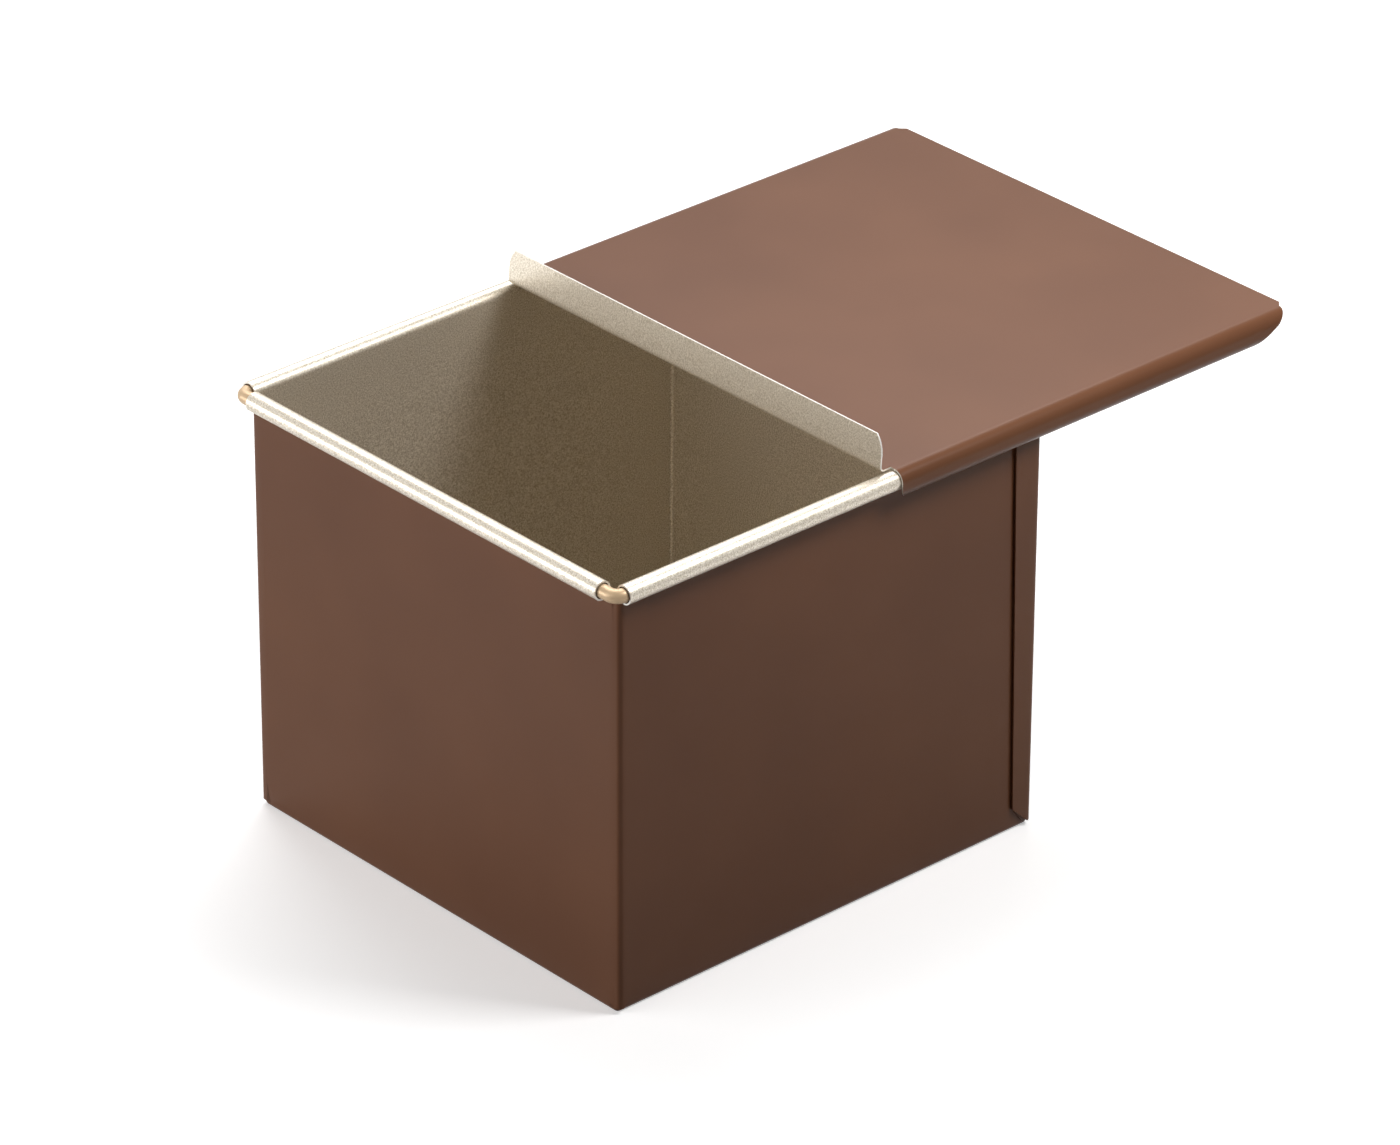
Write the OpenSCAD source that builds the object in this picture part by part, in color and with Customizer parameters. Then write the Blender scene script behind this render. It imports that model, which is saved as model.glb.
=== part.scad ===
// Pullman loaf pan: a folded sheet-metal tin with a wired rim and a sliding lid.
// X is the direction in which the lid slides open, Y runs across the pan, Z is up.
// The origin is the centre of the pan's underside.
// The lid is drawn part open, as it rests on the rim.

/* [Pan] */
// Length of the pan outside its end walls
pan_l = 127; // [90:1:260]
// Width of the pan outside its side walls, under the pleats
pan_w = 124; // [80:1:180]
// Height of the pan to the top of its rolled rim
pan_h = 109; // [70:1:150]
// Thickness of the pan's sheet
sheet_t = 0.4; // [0.3:0.05:0.8]
// Outside radius of the folds between the floor and the walls
fold_r = 1.3; // [1:0.1:4]

/* [Corner pleats] */
// Width of a pleat at the top of the wall
pleat_top_w = 8; // [5:0.5:12]
// Width of a pleat where its slanted lower end begins
pleat_low_w = 6; // [4:0.5:10]
// Gap between the top of a pleat and the rolled rim
pleat_gap = 0.3; // [0.2:0.1:2]

/* [Wired rim] */
// Diameter of the wire inside the rim
wire_d = 3.8; // [2.5:0.1:4]
// Radius of the wire's bend at each corner, on its centre line
wire_bend_r = 2.1; // [2.1:0.1:6]
// Gap between the wire and the sheet rolled round it
wire_gap = 0.03; // [0.03:0.01:0.1]
// How far the sheet wraps round the wire, in degrees from the wall
roll_wrap = 305; // [250:5:320]
// Length of straight wire left bare at each end of an end wall's roll
end_roll_cut = 2.4; // [0.1:0.1:10]
// Length of straight wire left bare at each end of a side wall's roll
side_roll_cut = 0.1; // [0.1:0.1:10]

/* [Lid] */
// Length of the lid from its lip to its plain far edge
lid_l = 126.5; // [90:0.5:262]
// Thickness of the lid's sheet
lid_t = 0.4; // [0.3:0.05:0.8]
// Running gap between the lid and the rim
lid_gap = 0.2; // [0.15:0.05:0.6]
// Straight drop in each channel's side, which lets it hang loosely on the rim
channel_drop = 1.2; // [0.2:0.1:4]
// How far each channel curls back under the rim, in degrees from its upright side
channel_curl = 70; // [40:5:100]
// Cut-back of a channel's front end behind the lip
channel_setback = 3.2; // [2:0.1:10]
// Radius of the rounded lower corner at a channel's front end
channel_corner_r = 3; // [1:0.5:3.5]
// Length of the tapered cut at a channel's far end
channel_trim = 12; // [6:1:30]
// Size of the small corner cut from the plate at its far edge
plate_corner = 1.5; // [0.5:0.5:5]
// Height of the lip above the lid's plate
lip_h = 8.5; // [6:0.1:20]
// Lean of the lip's top edge towards the plate, in degrees
lip_lean = 4; // [0:1:15]
// Inside radius of the bend between the plate and the lip
lip_bend_r = 0.8; // [0.4:0.1:3]
// Inset of each end of the lip from the side wall's outer face, at the plate
lip_inset = 0; // [-1:0.5:5]
// Radius of the curve that rounds off each end of the lip
lip_corner_r = 6.8; // [5:0.1:10]
// Height of that curve, down from the lip's top edge
lip_corner_h = 4.7; // [1:0.1:5]

/* [Movement] */
// Distance that the lid stands open in the position drawn
lid_open = 76.8; // [0:0.1:110]

/* [Hidden] */
$fn = 64;
// A small overlap where two shapes of one piece join
lap = 0.02;
// Colours of the coated sheet, the bare wire and the lid
body_colour = "saddlebrown";
wire_colour = "tan";
lid_colour = "sienna";

// Radii of the roll, measured from the wire's centre line
roll_in_r = wire_d / 2 + wire_gap;
roll_out_r = roll_in_r + sheet_t;
// Height of the wire's centre line
rim_z = pan_h - roll_out_r;
// Distances from the pan's centre to the wire's centre lines
end_axis_x = pan_l / 2 + roll_in_r;
side_axis_y = pan_w / 2 + roll_in_r;
// A pleat is two layers of the pan's sheet
pleat_t = 2 * sheet_t;
pleat_top_z = rim_z - roll_out_r - pleat_gap;

// Radii of a lid channel, from the same centre line as the roll
channel_in_r = roll_out_r + lid_gap;
channel_out_r = channel_in_r + lid_t;
// Underside of the lid's plate
plate_z = rim_z + channel_in_r;
// Place of the lid's front end when the pan is shut, and as drawn
shut_x = -pan_l / 2;
lid_x = shut_x + lid_open;
// Half the width of the lip at the plate
lip_half_w = pan_w / 2 + pleat_t - lip_inset;

// A box whose vertical edges and lower edges have the radius r
module tub_block(l, w, h, r) {
    for (sx = [-1, 1])
        for (sy = [-1, 1])
            translate([sx * (l / 2 - r), sy * (w / 2 - r), r]) {
                sphere(r = r);
                cylinder(r = r, h = h - r);
            }
    for (sy = [-1, 1])
        translate([-(l / 2 - r), sy * (w / 2 - r), r])
            rotate([0, 90, 0])
                cylinder(r = r, h = l - 2 * r);
    for (sx = [-1, 1])
        translate([sx * (l / 2 - r), w / 2 - r, r])
            rotate([90, 0, 0])
                cylinder(r = r, h = w - 2 * r);
    translate([-(l / 2 - r), -(w / 2 - r), 0])
        cube([l - 2 * r, w - 2 * r, h]);
    translate([-l / 2, -(w / 2 - r), r])
        cube([l, w - 2 * r, h - r]);
    translate([-(l / 2 - r), -w / 2, r])
        cube([l - 2 * r, w, h - r]);
}

// The folded floor and walls, one sheet thick
module tub() {
    difference() {
        tub_block(pan_l, pan_w, rim_z, fold_r);
        translate([0, 0, sheet_t])
            tub_block(pan_l - 2 * sheet_t, pan_w - 2 * sheet_t, pan_h, fold_r - sheet_t);
    }
}

// A slice of a ring that starts at the direction "from" and turns by "sweep" degrees
module ring_slice(r_in, r_out, from, sweep) {
    reach = 2 * r_out;
    steps = ceil(sweep / 60);
    fan = [for (i = [0 : steps]) reach * [cos(from + sweep * i / steps), sin(from + sweep * i / steps)]];
    intersection() {
        difference() {
            circle(r = r_out);
            circle(r = r_in);
        }
        polygon(concat([[0, 0]], fan));
    }
}

// One length of rolled rim along +X, its wall on the +Y side, its centre line at the origin
module roll(len) {
    translate([-len / 2, 0, 0])
        rotate([90, 0, 90])
            linear_extrude(height = len)
                ring_slice(roll_in_r, roll_out_r, 0, roll_wrap);
}

// The outline of a pleat, with X away from the corner and Y up
module pleat_outline() {
    polygon([
        [0, 0],
        [pleat_low_w, pleat_low_w],
        [pleat_top_w, pleat_top_z],
        [0, pleat_top_z]
    ]);
}

// A pleat folded flat against the outside of a side wall, at the pan's near left corner
module pleat() {
    translate([-pan_l / 2, -pan_w / 2 + lap, 0])
        rotate([90, 0, 0])
            linear_extrude(height = pleat_t + lap)
                difference() {
                    pleat_outline();
                    square(fold_r);
                }
}

// Repeats a shape at the four corners by mirroring
module four_corners() {
    for (mx = [0, 1])
        for (my = [0, 1])
            mirror([mx, 0, 0])
                mirror([0, my, 0])
                    children();
}

module pan_body() {
    color(body_colour)
        union() {
            tub();
            four_corners() pleat();
            for (a = [0, 180])
                rotate([0, 0, a])
                    translate([0, -side_axis_y, rim_z])
                        roll(2 * (end_axis_x - wire_bend_r - side_roll_cut));
            for (a = [90, 270])
                rotate([0, 0, a])
                    translate([0, -end_axis_x, rim_z])
                        roll(2 * (side_axis_y - wire_bend_r - end_roll_cut));
        }
}

// One rectangle of wire, bent at four corners and butted
module rim_wire() {
    color(wire_colour)
        translate([0, 0, rim_z])
            union() {
                four_corners()
                    translate([end_axis_x - wire_bend_r, side_axis_y - wire_bend_r, 0])
                        rotate_extrude(angle = 90)
                            translate([wire_bend_r, 0])
                                circle(d = wire_d);
                for (sy = [-1, 1])
                    translate([-(end_axis_x - wire_bend_r), sy * side_axis_y, 0])
                        rotate([0, 90, 0])
                            cylinder(d = wire_d, h = 2 * (end_axis_x - wire_bend_r));
                for (sx = [-1, 1])
                    translate([sx * end_axis_x, side_axis_y - wire_bend_r, 0])
                        rotate([90, 0, 0])
                            cylinder(d = wire_d, h = 2 * (side_axis_y - wire_bend_r));
            }
}

// The lid's flat plate, behind the lip's bend
module plate() {
    start = lip_bend_r + lid_t;
    translate([start, -lip_half_w, plate_z])
        cube([channel_setback - start + lap, 2 * lip_half_w, lid_t]);
    translate([0, 0, plate_z])
        linear_extrude(height = lid_t)
            polygon([
                [channel_setback, -side_axis_y],
                [lid_l - plate_corner, -side_axis_y],
                [lid_l, -side_axis_y + plate_corner],
                [lid_l, side_axis_y - plate_corner],
                [lid_l - plate_corner, side_axis_y],
                [channel_setback, side_axis_y]
            ]);
}

// The section of a channel: a bend over the rim, a straight drop, and a curl back under it
module channel_section() {
    ring_slice(channel_in_r, channel_out_r, 90, 90);
    translate([-channel_out_r, -channel_drop - lap])
        square([lid_t, channel_drop + 2 * lap]);
    translate([0, -channel_drop])
        ring_slice(channel_in_r, channel_out_r, 180, channel_curl);
}

// What is cut from the channel's ends, seen from the side, with X along the lid
module channel_end_cuts() {
    low = -channel_drop - channel_out_r;
    difference() {
        translate([channel_setback - lap, low - lap])
            square(channel_corner_r + lap);
        translate([channel_setback + channel_corner_r, low + channel_corner_r])
            circle(r = channel_corner_r);
    }
    polygon([
        [lid_l - plate_corner, channel_out_r + lap],
        [lid_l - plate_corner - channel_out_r, 0],
        [lid_l - channel_trim, low - lap],
        [lid_l + lap, low - lap],
        [lid_l + lap, channel_out_r + lap]
    ]);
}

// A channel that hooks round a side rim, on the -Y side
module channel() {
    translate([0, -side_axis_y, rim_z])
        difference() {
            translate([channel_setback, 0, 0])
                rotate([90, 0, 90])
                    linear_extrude(height = lid_l - channel_setback)
                        channel_section();
            translate([0, channel_out_r, 0])
                rotate([90, 0, 0])
                    linear_extrude(height = 3 * channel_out_r)
                        channel_end_cuts();
        }
}

// The lip's outline, with X across the pan and Y up the lip
module lip_outline() {
    half = lip_half_w - lap;
    rise = lip_h - lip_bend_r;
    difference() {
        translate([-half, 0])
            square([2 * half, rise]);
        for (mx = [0, 1])
            mirror([mx, 0])
                translate([half - lip_corner_r, rise - lip_corner_h])
                    difference() {
                        square([lip_corner_r + lap, lip_corner_h + lap]);
                        circle(r = lip_corner_r);
                    }
    }
}

// The upturned lip and the bend that joins it to the plate
module lip() {
    bend_out_r = lip_bend_r + lid_t;
    turn = 90 + lip_lean;
    translate([bend_out_r, lip_half_w, plate_z + bend_out_r])
        rotate([90, 0, 0]) {
            linear_extrude(height = 2 * lip_half_w)
                ring_slice(lip_bend_r, bend_out_r, 270 - turn, turn + 0.5);
        }
    translate([bend_out_r, 0, plate_z + bend_out_r])
        rotate([0, lip_lean, 0])
            translate([-bend_out_r, 0, -lap])
                rotate([90, 0, 90])
                    linear_extrude(height = lid_t)
                        lip_outline();
}

module lid() {
    color(lid_colour)
        translate([lid_x, 0, 0])
            union() {
                plate();
                lip();
                channel();
                mirror([0, 1, 0]) channel();
            }
}

pan_body();
rim_wire();
lid();
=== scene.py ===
"""Looks of a folded loaf pan with a wired rim and a sliding lid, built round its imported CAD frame."""

import math

import bmesh
import bpy
from mathutils import Matrix, Vector


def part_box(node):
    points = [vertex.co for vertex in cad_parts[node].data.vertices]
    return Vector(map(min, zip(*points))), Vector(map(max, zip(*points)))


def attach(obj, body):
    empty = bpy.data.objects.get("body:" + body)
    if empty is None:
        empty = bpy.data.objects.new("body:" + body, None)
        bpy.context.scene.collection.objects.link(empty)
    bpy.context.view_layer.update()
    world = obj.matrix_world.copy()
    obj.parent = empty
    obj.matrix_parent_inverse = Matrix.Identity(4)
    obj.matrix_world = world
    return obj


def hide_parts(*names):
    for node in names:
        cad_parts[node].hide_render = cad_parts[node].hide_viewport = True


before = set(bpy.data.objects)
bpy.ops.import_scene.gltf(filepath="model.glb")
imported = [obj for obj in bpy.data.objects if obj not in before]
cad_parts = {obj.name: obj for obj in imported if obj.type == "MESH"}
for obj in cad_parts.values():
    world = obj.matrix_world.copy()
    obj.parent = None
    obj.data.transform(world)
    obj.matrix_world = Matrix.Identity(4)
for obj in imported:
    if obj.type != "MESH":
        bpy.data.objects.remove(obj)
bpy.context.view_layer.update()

MM = 0.001

# Points of a sheet that lie nearer than this are one point
JOIN_REACH = 0.003 * MM
# A cut takes in the points that lie on it within this
CUT_REACH = 0.001 * MM
# Faces that meet at more than this keep a sharp edge between them
SHARP_EDGE = math.radians(35)

# Sizes read from the frame, in metres
PAN_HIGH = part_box("pan_body")[1]
WIRE_LOW, WIRE_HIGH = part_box("rim_wire")
LID_LOW, LID_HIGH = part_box("lid")
WIRE_R = (WIRE_HIGH.z - WIRE_LOW.z) / 2
RIM_Z = (WIRE_HIGH.z + WIRE_LOW.z) / 2
END_AXIS_X = WIRE_HIGH.x - WIRE_R
SIDE_AXIS_Y = WIRE_HIGH.y - WIRE_R
ROLL_R = PAN_HIGH.z - RIM_Z

# Sizes of the pan that the frame doesn't give, in metres
SHEET_T = 0.4 * MM
FOLD_R = 1.3 * MM
FOLD_IN_R = FOLD_R - SHEET_T
WIRE_BEND_R = 2.1 * MM
WIRE_SLACK = 0.22 * MM
END_ROLL_CUT = 2.4 * MM
SIDE_ROLL_CUT = 0.1 * MM
ROLL_WRAP = math.radians(305)
PLEAT_TOP_W = 8 * MM
PLEAT_LOW_W = 6 * MM
PLEAT_WRAP_R = 1.2 * MM
PLEAT_STEP = 0.3 * MM
PLEAT_SEAM = 0.05 * MM
WALL_BOW = 0.2 * MM

# Half sizes of the pan over its sheet, and inside it
HALF_L = END_AXIS_X - (ROLL_R - SHEET_T)
HALF_W = SIDE_AXIS_Y - (ROLL_R - SHEET_T)
IN_L = HALF_L - SHEET_T
IN_W = HALF_W - SHEET_T
ROLL_END_X = END_AXIS_X - WIRE_BEND_R - SIDE_ROLL_CUT
ROLL_END_Y = SIDE_AXIS_Y - WIRE_BEND_R - END_ROLL_CUT
PLEAT_TOP_Z = RIM_Z - ROLL_R - PLEAT_STEP

# Sizes of the lid, in metres
LID_T = 0.4 * MM
CHANNEL_R = LID_HIGH.y - SIDE_AXIS_Y
PLATE_TOP = RIM_Z + CHANNEL_R
CHANNEL_DROP = 1.2 * MM
CHANNEL_CURL = math.radians(70)
CHANNEL_SETBACK = 3.2 * MM
CHANNEL_CORNER_R = 3 * MM
CHANNEL_TRIM = 12 * MM
PLATE_CORNER = 1.5 * MM
PLATE_CROWN = 0.25 * MM
LIP_BEND_R = 0.8 * MM
LIP_BEND_OUT_R = LIP_BEND_R + LID_T
LIP_RISE = 7.68 * MM
LIP_LEAN = math.radians(4)
LIP_HALF_W = HALF_W + 2 * SHEET_T
LIP_CORNER_R = 6.8 * MM
LIP_CORNER_H = 4.7 * MM

# Sizes of the patterns in the finishes, in metres
CLOUD_SIZE = 45 * MM
PEEL_SIZE = 0.9 * MM
PEEL_DEPTH = 0.05 * MM
# Real flake is about 0.05 mm, too fine to show, so it is drawn coarser
FLAKE_SIZE = 0.35 * MM
FLAKE_DEPTH = 0.03 * MM
SCRATCH_SIZE = 0.5 * MM
DRAW_MARK_SIZE = 1.2 * MM

# The studio: how much of its own white the floor shows, its half size, and how far it lies below the pan
FLOOR_GLOW = 0.45
FLOOR_REACH = 3.0
FLOOR_DROP = 0.02 * MM
# The camera's yaw, pitch and roll in degrees, its place in metres and its lens and sensor in millimetres
CAMERA_TURN = (42.164, 28.506, 0.316)
CAMERA_PLACE = (-1.01612, -1.14046, 0.89305)
CAMERA_LENS = 196.07
CAMERA_SENSOR = 36


def linear(hex_colour):
    """The linear RGBA of an sRGB hex colour."""
    parts = [int(hex_colour[i:i + 2], 16) / 255 for i in (1, 3, 5)]
    return [p / 12.92 if p <= 0.04045 else ((p + 0.055) / 1.055) ** 2.4 for p in parts] + [1.0]


def add(tree, kind, links=(), **settings):
    """Adds a shader node, sets its properties and sockets, and links its inputs."""
    node = tree.nodes.new(kind)
    for name, value in settings.items():
        if name.startswith("in_"):
            key = name[3:].replace("_", " ")
            node.inputs[int(key) if key.isdigit() else key].default_value = value
        else:
            setattr(node, name, value)
    for key, source in dict(links).items():
        tree.links.new(source, node.inputs[key])
    return node


def new_material(name):
    """An empty node material and its tree."""
    material = bpy.data.materials.new(name)
    material.use_nodes = True
    material.node_tree.nodes.clear()
    return material, material.node_tree


def finish_material(tree, shader):
    """Ends a material's tree with its shader."""
    add(tree, "ShaderNodeOutputMaterial", {"Surface": shader.outputs[0]})


def brown_coat():
    """Baked brown release coat over steel sheet: an even satin skin with a faint orange peel."""
    material, tree = new_material("baked_brown_coat")
    place = add(tree, "ShaderNodeTexCoord").outputs["Object"]
    cloud = add(tree, "ShaderNodeTexNoise", {"Vector": place}, in_Scale=1 / CLOUD_SIZE, in_Detail=2.0)
    tone = add(tree, "ShaderNodeMapRange", {"Value": cloud.outputs["Fac"]},
               in_From_Min=0.3, in_From_Max=0.7)
    colour = add(tree, "ShaderNodeMix", {"Factor": tone.outputs[0]}, data_type="RGBA",
                 in_6=linear("#72482F"), in_7=linear("#7A4F35"))
    gloss = add(tree, "ShaderNodeMapRange", {"Value": cloud.outputs["Fac"]}, in_To_Min=0.28, in_To_Max=0.34)
    peel = add(tree, "ShaderNodeTexNoise", {"Vector": place}, in_Scale=1 / PEEL_SIZE, in_Detail=1.0)
    bump = add(tree, "ShaderNodeBump", {"Height": peel.outputs["Fac"]},
               in_Strength=0.06, in_Distance=PEEL_DEPTH)
    shader = add(tree, "ShaderNodeBsdfPrincipled", {
        "Base Color": colour.outputs[2], "Roughness": gloss.outputs[0], "Normal": bump.outputs[0]},
        in_Specular_IOR_Level=0.14)
    finish_material(tree, shader)
    return material


def champagne_coat(name, dark, light, metal):
    """Metallic release coat: pale gold flake in a clear binder, with a fine sparkle."""
    material, tree = new_material(name)
    place = add(tree, "ShaderNodeTexCoord").outputs["Object"]
    flake = add(tree, "ShaderNodeTexNoise", {"Vector": place}, in_Scale=1 / FLAKE_SIZE, in_Detail=2.0)
    sparkle = add(tree, "ShaderNodeMapRange", {"Value": flake.outputs["Fac"]},
                  in_From_Min=0.3, in_From_Max=0.7)
    colour = add(tree, "ShaderNodeMix", {"Factor": sparkle.outputs[0]}, data_type="RGBA",
                 in_6=linear(dark), in_7=linear(light))
    bump = add(tree, "ShaderNodeBump", {"Height": flake.outputs["Fac"]},
               in_Strength=0.25, in_Distance=FLAKE_DEPTH)
    shader = add(tree, "ShaderNodeBsdfPrincipled", {
        "Base Color": colour.outputs[2], "Normal": bump.outputs[0]}, in_Metallic=metal, in_Roughness=0.34)
    finish_material(tree, shader)
    return material


def cut_edge():
    """Sheared steel edge, uncoated, with the shear's fine scratches: pale bare steel, made near white and
    only partly metallic so that it shows as a bright thin line whatever it reflects, which is partly a
    painted glint.
    """
    material, tree = new_material("sheared_steel_edge_and_painted_glint")
    place = add(tree, "ShaderNodeTexCoord").outputs["Object"]
    scratch = add(tree, "ShaderNodeTexNoise", {"Vector": place}, in_Scale=1 / SCRATCH_SIZE)
    gloss = add(tree, "ShaderNodeMapRange", {"Value": scratch.outputs["Fac"]},
                in_To_Min=0.25, in_To_Max=0.45)
    # Near-white colour: pale bare steel, and partly a painted glint
    colour = add(tree, "ShaderNodeMix", {"Factor": scratch.outputs["Fac"]}, data_type="RGBA",
                 in_6=linear("#E4DFD6"), in_7=linear("#F8F5EF"))
    shader = add(tree, "ShaderNodeBsdfPrincipled", {
        "Base Color": colour.outputs[2], "Roughness": gloss.outputs[0]}, in_Metallic=0.4)
    finish_material(tree, shader)
    return material


def drawn_wire():
    """Drawn steel wire under a thin tan varnish: warm, with faint lengthwise draw marks."""
    material, tree = new_material("drawn_steel_wire")
    place = add(tree, "ShaderNodeTexCoord").outputs["Object"]
    marks = add(tree, "ShaderNodeTexNoise", {"Vector": place}, in_Scale=1 / DRAW_MARK_SIZE, in_Detail=2.0)
    colour = add(tree, "ShaderNodeMix", {"Factor": marks.outputs["Fac"]}, data_type="RGBA",
                 in_6=linear("#C9A983"), in_7=linear("#DDC09A"))
    gloss = add(tree, "ShaderNodeMapRange", {"Value": marks.outputs["Fac"]}, in_To_Min=0.32, in_To_Max=0.46)
    shader = add(tree, "ShaderNodeBsdfPrincipled", {
        "Base Color": colour.outputs[2], "Roughness": gloss.outputs[0]}, in_Metallic=0.3)
    finish_material(tree, shader)
    return material


BROWN = brown_coat()
# The pan's inside has the plain champagne coat. The lid's lip gets a lighter, more metallic copy of it: a
# painted sheen for the lamp light that falls on the lip
CHAMPAGNE = champagne_coat("champagne_flake_coat", "#BBAE99", "#F8F0E2", 0.55)
LIT_CHAMPAGNE_PAINTED_SHEEN = champagne_coat("champagne_flake_coat_painted_sheen", "#C4B8A4", "#F7EFE1", 0.6)
EDGE = cut_edge()
WIRE = drawn_wire()


def spread(low, high, count):
    """Evenly spaced values from low to high, both included."""
    return [low + (high - low) * i / (count - 1) for i in range(count)]


def add_grid(mesh, rows, flip=False):
    """Adds faces between rows of points. A point may be None, which leaves its faces out."""
    made = [[None if p is None else mesh.verts.new(p) for p in row] for row in rows]
    for upper, lower in zip(made, made[1:]):
        for i in range(len(upper) - 1):
            corners = [upper[i], upper[i + 1], lower[i + 1], lower[i]]
            if None not in corners:
                mesh.faces.new(corners[::-1] if flip else corners)


def new_object(name, mesh, materials):
    """Turns a bmesh into an object with its materials, its shared points joined."""
    bmesh.ops.remove_doubles(mesh, verts=mesh.verts, dist=JOIN_REACH)
    data = bpy.data.meshes.new(name)
    mesh.to_mesh(data)
    mesh.free()
    for material in materials:
        data.materials.append(material)
    piece = bpy.data.objects.new(name, data)
    bpy.context.scene.collection.objects.link(piece)
    return piece


def thicken(piece, thickness):
    """Gives a sheet its thickness below its faces, with its own materials for the back and the cut edge."""
    solid = piece.modifiers.new("sheet thickness", "SOLIDIFY")
    solid.thickness = thickness
    solid.offset = -1
    solid.use_even_offset = True
    solid.material_offset = 1
    solid.material_offset_rim = 2
    evaluated = piece.evaluated_get(bpy.context.evaluated_depsgraph_get())
    data = bpy.data.meshes.new_from_object(evaluated)
    piece.modifiers.clear()
    piece.data = data


def join(name, pieces):
    """Joins pieces that share their materials into the first, and shades it smooth between sharp edges."""
    mesh = bmesh.new()
    for piece in pieces:
        mesh.from_mesh(piece.data)
    whole = pieces[0]
    mesh.to_mesh(whole.data)
    mesh.free()
    for piece in pieces[1:]:
        bpy.data.objects.remove(piece)
    whole.name = name
    whole.data.name = name
    for polygon in whole.data.polygons:
        polygon.use_smooth = True
    whole.data.set_sharp_from_angle(angle=SHARP_EDGE)
    return whole


# ---- The pan: one sheet for floor, walls and rolls ----

# Half lengths of the straight part of the floor, between the folds
FLAT_X = IN_L - FOLD_IN_R
FLAT_Y = IN_W - FOLD_IN_R
ACROSS_X = spread(-FLAT_X, FLAT_X, 25)
ACROSS_Y = sorted(spread(-ROLL_END_Y, ROLL_END_Y, 23) + [-FLAT_Y, FLAT_Y])
UP_WALL = spread(SHEET_T + FOLD_IN_R, RIM_Z, 22)[:-1] + [RIM_Z]
FOLD_ANGLES = [math.radians(a) for a in range(0, 91, 15)]
ROLL_ANGLES = spread(0, ROLL_WRAP, 44)[1:]
# Steps of a quarter turn, and across and up a pleat
QUARTER_TURN = spread(0, math.pi / 2, 7)
ACROSS_PLEAT = spread(0, 1, 9)
UP_PLEAT = spread(0, 1, 24)


def wall_bow(u, z, half):
    """How far the pressed wall bows inwards between its stiff edges."""
    along = max(0.0, math.cos(math.pi / 2 * u / half))
    up = math.sin(math.pi * (z - SHEET_T) / (RIM_Z - SHEET_T))
    return -WALL_BOW * along * up


def wall_and_roll(mesh, place, stations, half, roll_end, flip):
    """One wall with its lower fold and its roll. place turns (along, outwards, up) into a point."""
    columns = sorted(set(stations) | {-roll_end, roll_end})
    wall_end = half + CUT_REACH
    roll_end += CUT_REACH
    rows = []
    for a in FOLD_ANGLES:
        out = FOLD_IN_R * (math.sin(a) - 1)
        up = SHEET_T + FOLD_IN_R * (1 - math.cos(a))
        rows.append([place(u, out, up) if abs(u) < wall_end else None for u in columns])
    for z in UP_WALL[1:]:
        reach = wall_end if z < RIM_Z else max(wall_end, roll_end)
        rows.append([place(u, wall_bow(u, z, half), z) if abs(u) < reach else None for u in columns])
    for a in ROLL_ANGLES:
        out = ROLL_R * (1 - math.cos(a))
        up = RIM_Z + ROLL_R * math.sin(a)
        rows.append([place(u, out, up) if abs(u) < roll_end else None for u in columns])
    add_grid(mesh, rows, flip)


def tub_corner(mesh, sx, sy):
    """One upright corner fold and the dish at its foot."""
    rows = []
    for a in FOLD_ANGLES:
        reach = FOLD_IN_R * math.sin(a)
        up = SHEET_T + FOLD_IN_R * (1 - math.cos(a))
        rows.append([(sx * (FLAT_X + reach * math.cos(b)), sy * (FLAT_Y + reach * math.sin(b)), up)
                     for b in QUARTER_TURN])
    for z in UP_WALL[1:]:
        rows.append([(sx * (FLAT_X + FOLD_IN_R * math.cos(b)), sy * (FLAT_Y + FOLD_IN_R * math.sin(b)), z)
                     for b in QUARTER_TURN])
    add_grid(mesh, rows, sx * sy > 0)


def tub_sheet():
    """The floor, the walls and their rolls, as one folded sheet."""
    mesh = bmesh.new()
    add_grid(mesh, [[(x, y, SHEET_T) for x in ACROSS_X] for y in ACROSS_Y])
    for s in (-1, 1):
        wall_and_roll(mesh, lambda u, out, up: (s * (IN_L + out), u, up),
                      ACROSS_Y, FLAT_Y, ROLL_END_Y, s > 0)
        wall_and_roll(mesh, lambda u, out, up: (u, s * (IN_W + out), up),
                      ACROSS_X, FLAT_X, ROLL_END_X, s < 0)
        for t in (-1, 1):
            tub_corner(mesh, s, t)
    piece = new_object("tub", mesh, [CHAMPAGNE, BROWN, EDGE])
    thicken(piece, SHEET_T)
    return piece


# ---- The corner pleats ----

def pleat_points(start, low, top, sink):
    """Rows of (along the side wall, up) over a pleat's face, from its slanted lower fold to its top."""
    rows = []
    for t in UP_PLEAT:
        row = []
        for v in ACROSS_PLEAT:
            foot = (start + v * (low - start), FOLD_R + v * (low - FOLD_R) + sink)
            head = (start + v * (top - start), PLEAT_TOP_Z)
            row.append((foot[0] + t * (head[0] - foot[0]), foot[1] + t * (head[1] - foot[1])))
        rows.append(row)
    return rows


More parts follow.
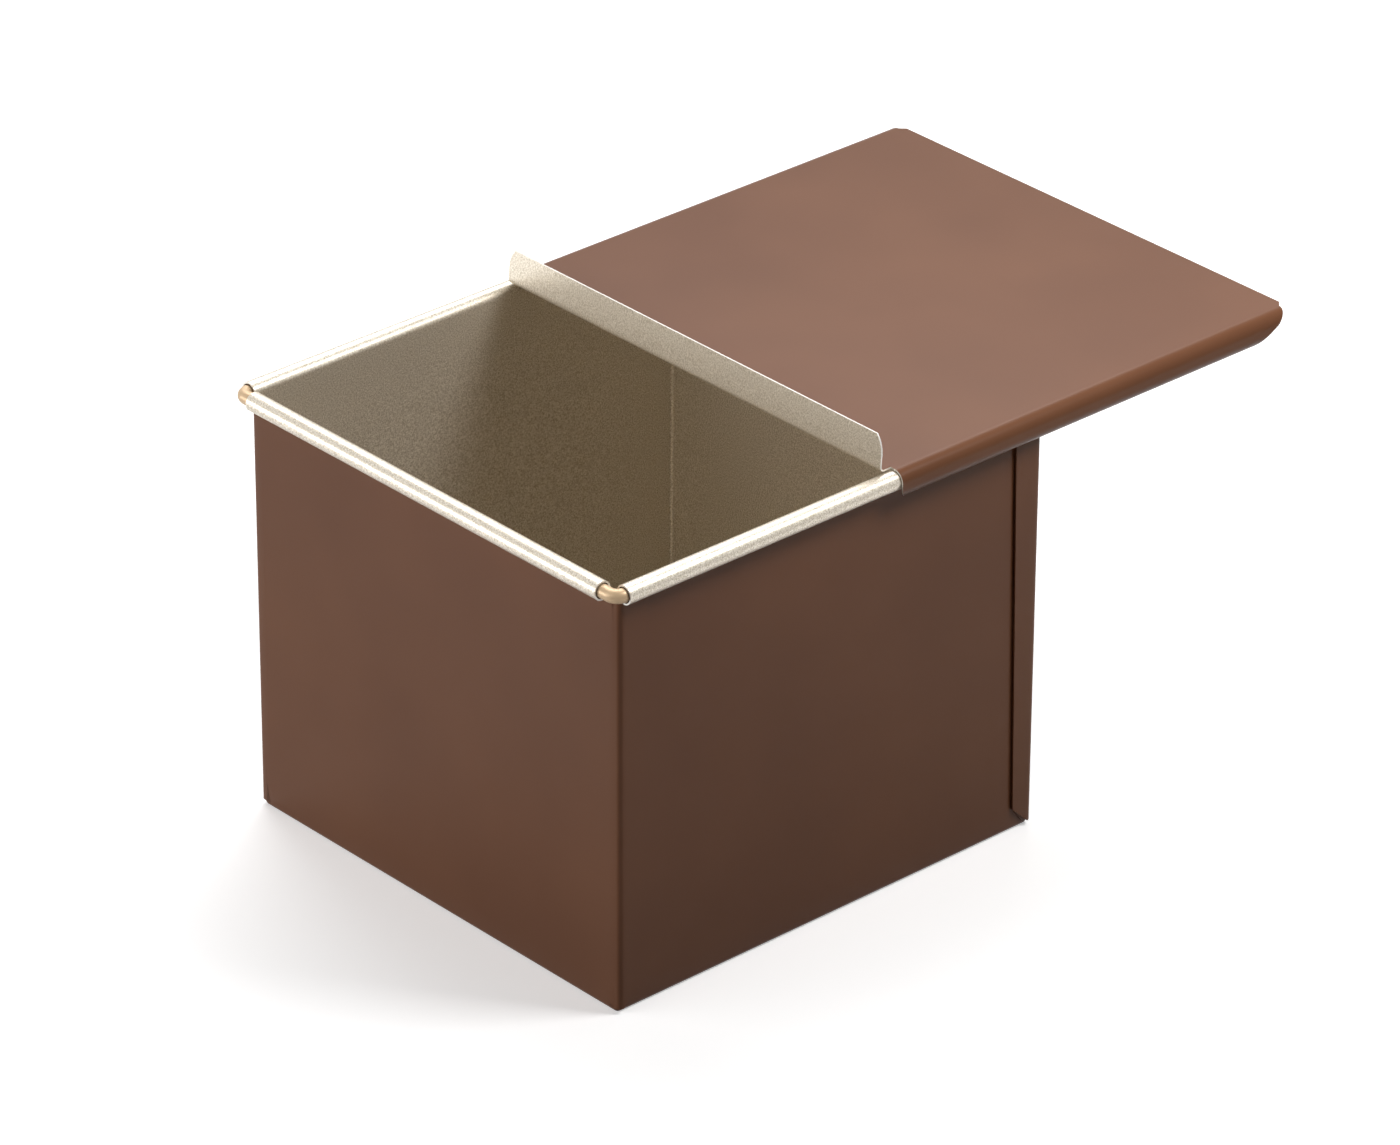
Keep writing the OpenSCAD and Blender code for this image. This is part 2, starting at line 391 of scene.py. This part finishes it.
def pleat(sx, sy):
    """The spare sheet at one corner, folded flat against the side wall: an outer and an inner layer."""
    outer = bmesh.new()
    face_y = HALF_W + 2 * SHEET_T
    rows = []
    for row in pleat_points(PLEAT_WRAP_R, PLEAT_LOW_W, PLEAT_TOP_W, 0):
        up = row[0][1]
        points = [(HALF_L, HALF_W - 2 * FOLD_R, up)]
        for b in QUARTER_TURN[:-1]:
            points.append((HALF_L - PLEAT_WRAP_R * (1 - math.cos(b)),
                           face_y - PLEAT_WRAP_R * (1 - math.sin(b)), up))
        points += [(HALF_L - along, face_y, z) for along, z in row]
        rows.append([(sx * x, sy * y, z) for x, y, z in points])
    add_grid(outer, rows, sx * sy < 0)
    layers = [(outer, SHEET_T)]
    inner = bmesh.new()
    rows = []
    for row in pleat_points(2 * FOLD_R, PLEAT_LOW_W - PLEAT_STEP, PLEAT_TOP_W - PLEAT_STEP, PLEAT_STEP):
        rows.append([(sx * (HALF_L - along), sy * (face_y - SHEET_T - PLEAT_SEAM), z) for along, z in row])
    add_grid(inner, rows, sx * sy < 0)
    layers.append((inner, SHEET_T - 2 * PLEAT_SEAM))
    pieces = []
    for mesh, thickness in layers:
        piece = new_object("pleat", mesh, [CHAMPAGNE, BROWN, EDGE])
        thicken(piece, thickness)
        for polygon in piece.data.polygons:
            polygon.material_index = 1
        pieces.append(piece)
    return pieces


def pan_sheet():
    """The folded tub and its four corner pleats, as one piece."""
    pieces = [tub_sheet()]
    for sx in (-1, 1):
        for sy in (-1, 1):
            pieces += pleat(sx, sy)
    return join("pan_sheet", pieces)


# ---- The wire ----

def rim_wire_bent():
    """One wire bent into a rectangle, a little loose in the rolls: a round section along its centre line."""
    radius = WIRE_R - WIRE_SLACK
    stations = []
    for corner, (sx, sy) in enumerate(((1, 1), (-1, 1), (-1, -1), (1, -1))):
        for b in spread(corner * math.pi / 2, (corner + 1) * math.pi / 2, 13):
            out = Vector((math.cos(b), math.sin(b), 0))
            centre = Vector((sx * (END_AXIS_X - WIRE_BEND_R), sy * (SIDE_AXIS_Y - WIRE_BEND_R), RIM_Z))
            stations.append((centre + WIRE_BEND_R * out, out))
    mesh = bmesh.new()
    rows = []
    for centre, out in stations + stations[:1]:
        rows.append([centre + radius * (math.cos(a) * out + math.sin(a) * Vector((0, 0, 1)))
                     for a in spread(0, 2 * math.pi, 33)])
    add_grid(mesh, rows, True)
    return join("rim_wire_bent", [new_object("rim_wire_bent", mesh, [WIRE])])


# ---- The lid: one sheet for plate, channels and lip ----

LID_L = LID_HIGH.x - LID_LOW.x
CHANNEL_LOW = -CHANNEL_DROP - CHANNEL_R


def plate_height(along, y):
    """Height of the plate's top, which is crowned a little between its stiff edges."""
    across = max(0.0, math.cos(math.pi / 2 * y / LIP_HALF_W))
    return PLATE_TOP + PLATE_CROWN * across * math.sin(math.pi * along)


def far_end_x(y, up):
    """Where the lid ends at its plain far end. up is measured from the wire's centre line."""
    if up >= CHANNEL_R - CUT_REACH:
        return LID_L - max(0.0, abs(y) - (SIDE_AXIS_Y - PLATE_CORNER))
    if up > 0:
        return LID_L - PLATE_CORNER - (CHANNEL_R - up)
    side_cut = PLATE_CORNER + CHANNEL_R
    return LID_L - side_cut - (CHANNEL_TRIM - side_cut) * up / CHANNEL_LOW


def channel_start_x(up):
    """Where a channel starts behind the lip: square, with its lower corner rounded."""
    short = CHANNEL_LOW + CHANNEL_CORNER_R - up
    if short <= 0:
        return CHANNEL_SETBACK
    return CHANNEL_SETBACK + CHANNEL_CORNER_R - math.sqrt(max(0.0, CHANNEL_CORNER_R ** 2 - short ** 2))


def channel_profile():
    """Points of a channel's outside, as (outwards, up) from the wire's centre line."""
    bend = [(CHANNEL_R * math.sin(a), CHANNEL_R * math.cos(a)) for a in spread(0, math.pi / 2, 17)[1:]]
    drop = [(CHANNEL_R, -CHANNEL_DROP * t) for t in (0.25, 0.5, 0.75)]
    curl = [(CHANNEL_R * math.cos(a), -CHANNEL_DROP - CHANNEL_R * math.sin(a))
            for a in spread(0, CHANNEL_CURL, 14)]
    return bend + drop + curl


def lip_half_width(up):
    """Half the lip's width at a height above its bend: straight ends, rounded over towards the top."""
    over = up - (LIP_RISE - LIP_CORNER_H)
    if over <= 0:
        return LIP_HALF_W
    return LIP_HALF_W - LIP_CORNER_R + math.sqrt(LIP_CORNER_R ** 2 - over ** 2)


def lid_sheet_folded():
    """The plate, both channels and the lip, as one folded sheet."""
    mesh = bmesh.new()
    edge_rows = [s * y for s in (-1, 1) for y in (SIDE_AXIS_Y - PLATE_CORNER, SIDE_AXIS_Y)]
    plate_ys = sorted(spread(-LIP_HALF_W, LIP_HALF_W, 41) + edge_rows)
    # The lip shares the plate's rows, so that the bend between them is closed
    lip_ys = [y for y in plate_ys if abs(y) < LIP_HALF_W + CUT_REACH]
    runs = spread(0, 1, 33)
    rows = []
    profile = channel_profile()
    for out, up in profile[::-1]:
        start, end = channel_start_x(up), far_end_x(SIDE_AXIS_Y, up)
        rows.append([(LID_LOW.x + start + (end - start) * t, -SIDE_AXIS_Y - out, RIM_Z + up) for t in runs])
    for y in plate_ys:
        end = far_end_x(y, CHANNEL_R)
        rows.append([(LID_LOW.x + CHANNEL_SETBACK + (end - CHANNEL_SETBACK) * t, y, plate_height(t, y))
                     for t in runs])
    for out, up in profile:
        start, end = channel_start_x(up), far_end_x(SIDE_AXIS_Y, up)
        rows.append([(LID_LOW.x + start + (end - start) * t, SIDE_AXIS_Y + out, RIM_Z + up) for t in runs])
    add_grid(mesh, rows)
    base = Vector((LID_LOW.x + LIP_BEND_OUT_R, 0, PLATE_TOP + LIP_BEND_R))
    rows = []
    for y in lip_ys:
        share = y / LIP_HALF_W
        row = []
        for up in spread(LIP_RISE, 0, 13)[:-1]:
            along = LIP_BEND_R * -math.cos(LIP_LEAN) + up * math.sin(LIP_LEAN)
            height = LIP_BEND_R * math.sin(LIP_LEAN) + up * math.cos(LIP_LEAN)
            row.append((along, share * lip_half_width(up), height))
        for a in spread(math.pi / 2 + LIP_LEAN, 0, 9):
            row.append((-LIP_BEND_R * math.sin(a), y, -LIP_BEND_R * math.cos(a)))
        row.append((CHANNEL_SETBACK - LIP_BEND_OUT_R, y, -LIP_BEND_R))
        rows.append([base + Vector(p) for p in row])
    add_grid(mesh, rows)
    # The lip's face takes the lighter champagne copy, which is painted sheen
    piece = new_object("lid_sheet_folded", mesh, [BROWN, LIT_CHAMPAGNE_PAINTED_SHEEN, EDGE])
    thicken(piece, LID_T)
    return join("lid_sheet_folded", [piece])


pan = pan_sheet()
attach(pan, "pan")
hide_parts("pan_body")

wire = rim_wire_bent()
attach(wire, "pan")
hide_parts("rim_wire")

lid = lid_sheet_folded()
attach(lid, "lid")
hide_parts("lid")


# ---- Studio ----

def seen(tree):
    """1 where the camera, a reflection or a view through glass looks, and 0 for the light that bounces."""
    path = add(tree, "ShaderNodeLightPath")
    looks = add(tree, "ShaderNodeMath", {0: path.outputs["Is Camera Ray"], 1: path.outputs["Is Glossy Ray"]},
                operation="MAXIMUM")
    return add(tree, "ShaderNodeMath", {0: looks.outputs[0], 1: path.outputs["Is Transmission Ray"]},
               operation="MAXIMUM").outputs[0]


def shown_white(tree, other):
    """White where the camera or a reflection looks, and the other colour for everything else."""
    return add(tree, "ShaderNodeMix", {"Factor": seen(tree)}, data_type="RGBA",
               in_6=linear(other), in_7=linear("#FFFFFF")).outputs[2]


def studio_floor(bounce):
    """A plain pale floor that runs out of sight."""
    material, tree = new_material("pale_studio_floor")
    # A little of its own white where it is seen, so that the object's shadow on it stays pale
    glow = add(tree, "ShaderNodeMath", {0: seen(tree)}, in_1=FLOOR_GLOW, operation="MULTIPLY")
    shader = add(tree, "ShaderNodeBsdfPrincipled", {
        "Base Color": shown_white(tree, bounce), "Emission Strength": glow.outputs[0]},
        in_Emission_Color=linear("#FFFFFF"), in_Roughness=0.9, in_Specular_IOR_Level=0.1)
    finish_material(tree, shader)
    mesh = bmesh.new()
    # A hair below the pan's underside, so that the two faces don't fight
    add_grid(mesh, [[(x, y, -FLOOR_DROP) for x in (-FLOOR_REACH, FLOOR_REACH)]
                    for y in (-FLOOR_REACH, FLOOR_REACH)])
    floor = new_object("studio_floor", mesh, [material])


def soft_light(name, place, aim, width, height, power):
    """A soft rectangular lamp at place, turned to aim."""
    lamp = bpy.data.lights.new(name, "AREA")
    lamp.shape = "RECTANGLE"
    lamp.size = width
    lamp.size_y = height
    lamp.energy = power
    stand = bpy.data.objects.new(name, lamp)
    stand.location = place
    stand.rotation_euler = (Vector(aim) - Vector(place)).to_track_quat("-Z", "Y").to_euler()
    bpy.context.scene.collection.objects.link(stand)


def white_world(fill):
    """A white surround that lights the object with only a soft grey fill."""
    world = bpy.data.worlds.new("white_studio")
    world.use_nodes = True
    tree = world.node_tree
    tree.nodes.clear()
    back = add(tree, "ShaderNodeBackground", {"Color": shown_white(tree, fill)}, in_Strength=1.0)
    add(tree, "ShaderNodeOutputWorld", {"Surface": back.outputs[0]})
    bpy.context.scene.world = world


def camera():
    """The photograph's view: a long lens from the front left corner of the pan, a little above it."""
    yaw, pitch, roll = (math.radians(a) for a in CAMERA_TURN)
    forward = Vector((math.sin(yaw) * math.cos(pitch), math.cos(yaw) * math.cos(pitch), -math.sin(pitch)))
    level = Vector((math.cos(yaw), -math.sin(yaw), 0))
    upward = level.cross(forward)
    right = math.cos(roll) * level + math.sin(roll) * upward
    up = math.cos(roll) * upward - math.sin(roll) * level
    lens = bpy.data.cameras.new("camera")
    lens.sensor_fit = "HORIZONTAL"
    lens.sensor_width = CAMERA_SENSOR
    lens.lens = CAMERA_LENS
    lens.clip_start = 0.05
    lens.clip_end = 20
    eye = bpy.data.objects.new("camera", lens)
    turn = Matrix((right, up, -forward)).transposed().to_4x4()
    eye.matrix_world = Matrix.Translation(CAMERA_PLACE) @ turn
    bpy.context.scene.collection.objects.link(eye)
    bpy.context.scene.camera = eye


studio_floor("#8C8C8C")
soft_light("overhead_softbox", (0.42, 0.6, 1.05), (0, 0, 0.08), 0.9, 0.9, 10.8)
soft_light("right_softbox", (0.15, -0.25, 0.42), (0, 0, 0.08), 0.15, 0.15, 1.1)
soft_light("left_softbox", (-1.0, 0.2, 0.5), (0, 0, 0.08), 0.6, 0.6, 2.4)
soft_light("left_card", (-0.6, 0.45, 0.15), (0, 0, 0.1), 0.35, 0.2, 1.8)
white_world("#202020")
camera()
bpy.context.scene.view_settings.view_transform = "Standard"
